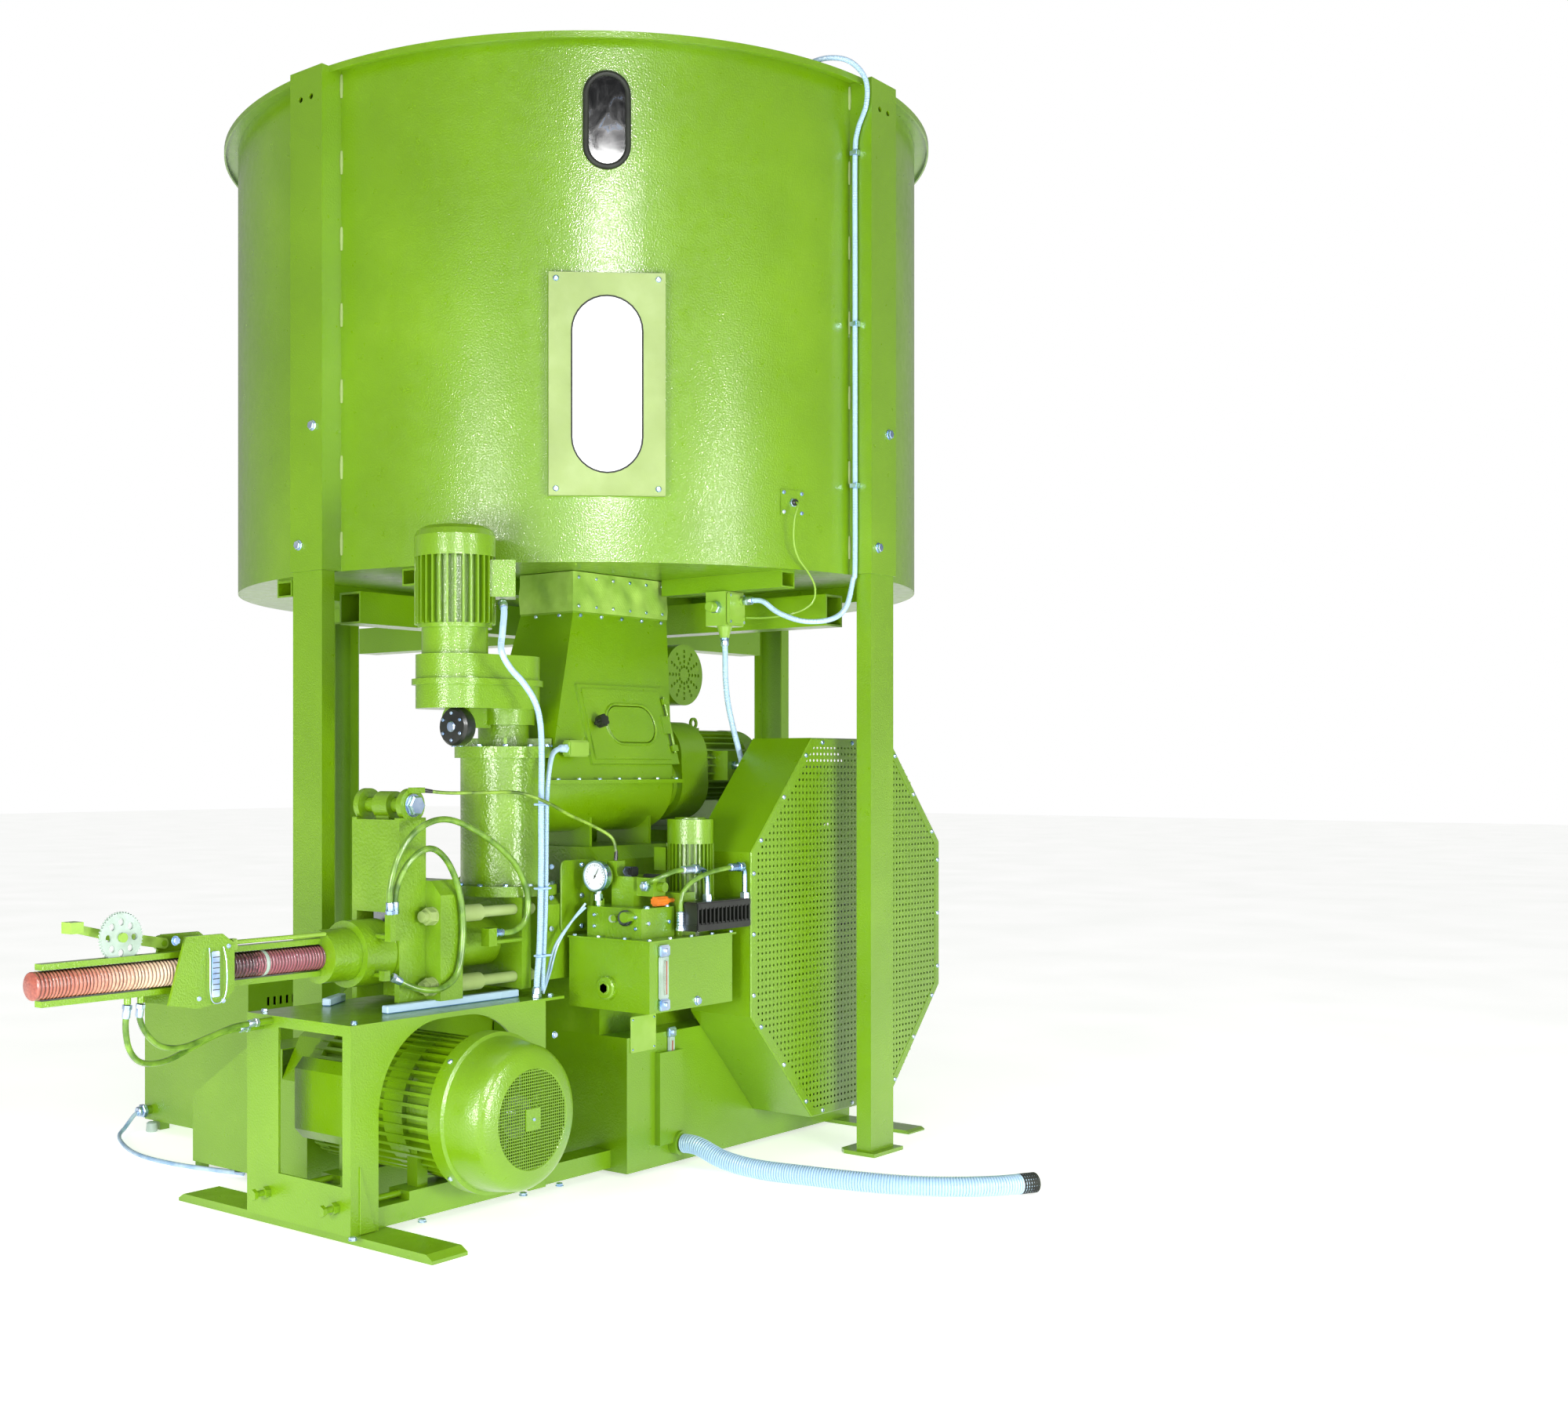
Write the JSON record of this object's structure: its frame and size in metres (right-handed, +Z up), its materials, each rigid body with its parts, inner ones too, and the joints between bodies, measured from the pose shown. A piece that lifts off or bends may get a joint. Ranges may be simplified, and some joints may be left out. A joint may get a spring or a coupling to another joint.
{
  "type": "briquetting press",
  "caption": "Mechanical briquetting press with a round feed silo on legs, a screw feeder, a belt driven crank press and a straight outfeed rail for the pressed strand.",
  "frame": {"origin": "on the floor under the silo's axis, at the centre of the four floor anchors", "axes": "+Z up along the silo's axis; +X along the ram, away from the outfeed; +Y from the flywheel guard towards the belt side"},
  "size_m": [4.107, 3.3353, 3.5521],
  "materials": {
    "green_paint": "hammered lime green enamel on welded sheet steel",
    "pale_green_paint": "pale green enamel on plates and small castings",
    "cast_green_paint": "lime green enamel over rough cast surfaces",
    "bare_steel": "turned and ground bare steel",
    "cast_iron": "grey cast iron, turned on the rim",
    "bronze": "cast bearing bronze",
    "window_pane": "clear pane",
    "canvas": "woven sleeve cloth in light green",
    "black_plastic": "moulded black plastic",
    "orange_plastic": "moulded orange plastic",
    "white_plastic": "moulded white plastic",
    "belt_rubber": "ribbed rubber belt",
    "hose_rubber": "smooth rubber hose cover",
    "cable_sheath": "smooth cable sheath",
    "conduit_plastic": "corrugated light blue plastic conduit",
    "pressed_waste": "pressed waste with a ribbed skin"
  },
  "bodies": {
    "frame": {"silo_shell": "green_paint", "silo_floor": "green_paint", "silo_legs": "green_paint", "window_plate": "pale_green_paint", "window_glass": "window_pane", "junction_box": "pale_green_paint", "agitator_motor": "green_paint", "outlet_chute": "green_paint", "chute_cuff": "canvas", "screw_trough": "green_paint", "trough_gearmotor": "green_paint", "feeder_tube": "cast_green_paint", "feeder_gearbox": "green_paint", "feeder_motor": "green_paint", "sleepers": "green_paint", "press_bed": "green_paint", "crankcase": "cast_green_paint", "crank_bearings": "bronze", "press_head": "cast_green_paint", "tie_rods": "pale_green_paint", "die": "cast_green_paint", "clamp_head": "cast_green_paint", "clamp_cylinder": "cast_green_paint", "flywheel_guard": "green_paint", "belt_guard": "green_paint", "main_motor": "green_paint", "motor_cowl": "green_paint", "drive_belts": "belt_rubber", "motor_base": "green_paint", "motor_table": "green_paint", "outfeed_rails": "green_paint", "briquette_strand": "pressed_waste", "oil_tank": "green_paint", "pump_motor": "green_paint", "valve_block": "cast_green_paint", "control_cabinet": "green_paint", "conduits": "conduit_plastic", "clamp_hose": "hose_rubber", "head_hose": "hose_rubber", "line_hose_1": "hose_rubber", "line_hose_2": "hose_rubber", "spiral_hose": "conduit_plastic", "floor_cable": "cable_sheath", "clamp_cable": "cable_sheath"},
    "crank": {"crankshaft": "bare_steel", "flywheel": "cast_iron", "belt_flywheel": "cast_iron"},
    "ram": {"ram": "bare_steel"},
    "rod": {"connecting_rod": "bare_steel"},
    "motor": {"motor_rotor": "bare_steel", "motor_pulley": "cast_iron"},
    "agitator": {"agitator": "bare_steel"},
    "feed_screw": {"feed_screw": "bare_steel"},
    "trough_screw": {"trough_screw": "bare_steel"},
    "wheel_arm": {"wheel_arm": "pale_green_paint"},
    "measuring_wheel": {"measuring_wheel": "white_plastic"},
    "door": {"inspection_door": "green_paint"},
    "door_knob": {"door_knob": "black_plastic"},
    "clamp_jaw": {"clamp_jaw": "bare_steel"},
    "valve_knob": {"valve_knob": "orange_plastic"}
  },
  "joints": [
    {"name": "crank_spin", "type": "hinge", "parent": "frame", "child": "crank", "pos_m": [0.073, -0.65, 0.74], "axis": [0, 1, 0], "continuous": true},
    {"name": "ram_slide", "type": "slide", "parent": "frame", "child": "ram", "axis": [1, 0, 0], "range_m": [0, 0.1]},
    {"name": "rod_swing", "type": "hinge", "parent": "ram", "child": "rod", "pos_m": [-0.377, -0.65, 0.74], "axis": [0, 1, 0], "range_deg": [-7.2, 7.2]},
    {"name": "motor_spin", "type": "hinge", "parent": "frame", "child": "motor", "pos_m": [-1.5, -0.65, 0.303], "axis": [0, 1, 0], "continuous": true},
    {"name": "agitator_spin", "type": "hinge", "parent": "frame", "child": "agitator", "pos_m": [0, 0, 1.9], "axis": [0, 0, 1], "continuous": true},
    {"name": "feed_screw_spin", "type": "hinge", "parent": "frame", "child": "feed_screw", "pos_m": [-1.099, -0.65, 1.1], "axis": [0, 0, 1], "continuous": true},
    {"name": "trough_screw_spin", "type": "hinge", "parent": "frame", "child": "trough_screw", "pos_m": [-0.7, -0.65, 1.208], "axis": [1, 0, 0], "continuous": true},
    {"name": "counter_arm", "type": "hinge", "parent": "frame", "child": "wheel_arm", "pos_m": [-2.344, -0.614, 0.8115], "axis": [0, 1, 0], "range_deg": [0, 25]},
    {"name": "counter_wheel", "type": "hinge", "parent": "wheel_arm", "child": "measuring_wheel", "pos_m": [-2.5, -0.65, 0.8395], "axis": [0, 1, 0], "continuous": true},
    {"name": "door_hinge", "type": "hinge", "parent": "frame", "child": "door", "pos_m": [-0.422, -0.77061, 1.40264], "axis": [0, 0.2581, 0.9661], "range_deg": [0, 95]},
    {"name": "door_latch", "type": "hinge", "parent": "door", "child": "door_knob", "pos_m": [-0.8, -0.78123, 1.40547], "axis": [0, 0.9661, -0.2581], "range_deg": [-90, 90]},
    {"name": "clamp_slide", "type": "slide", "parent": "frame", "child": "clamp_jaw", "axis": [0, 0, 1], "range_m": [0, 0.025]},
    {"name": "valve_adjust", "type": "hinge", "parent": "frame", "child": "valve_knob", "pos_m": [-0.82, -1.066, 0.859], "axis": [1, 0, 0], "range_deg": [-180, 180]}
  ],
  "couplings": [
    {"joint": "motor_spin", "follows": "crank_spin", "ratio": 4.9091}
  ]
}
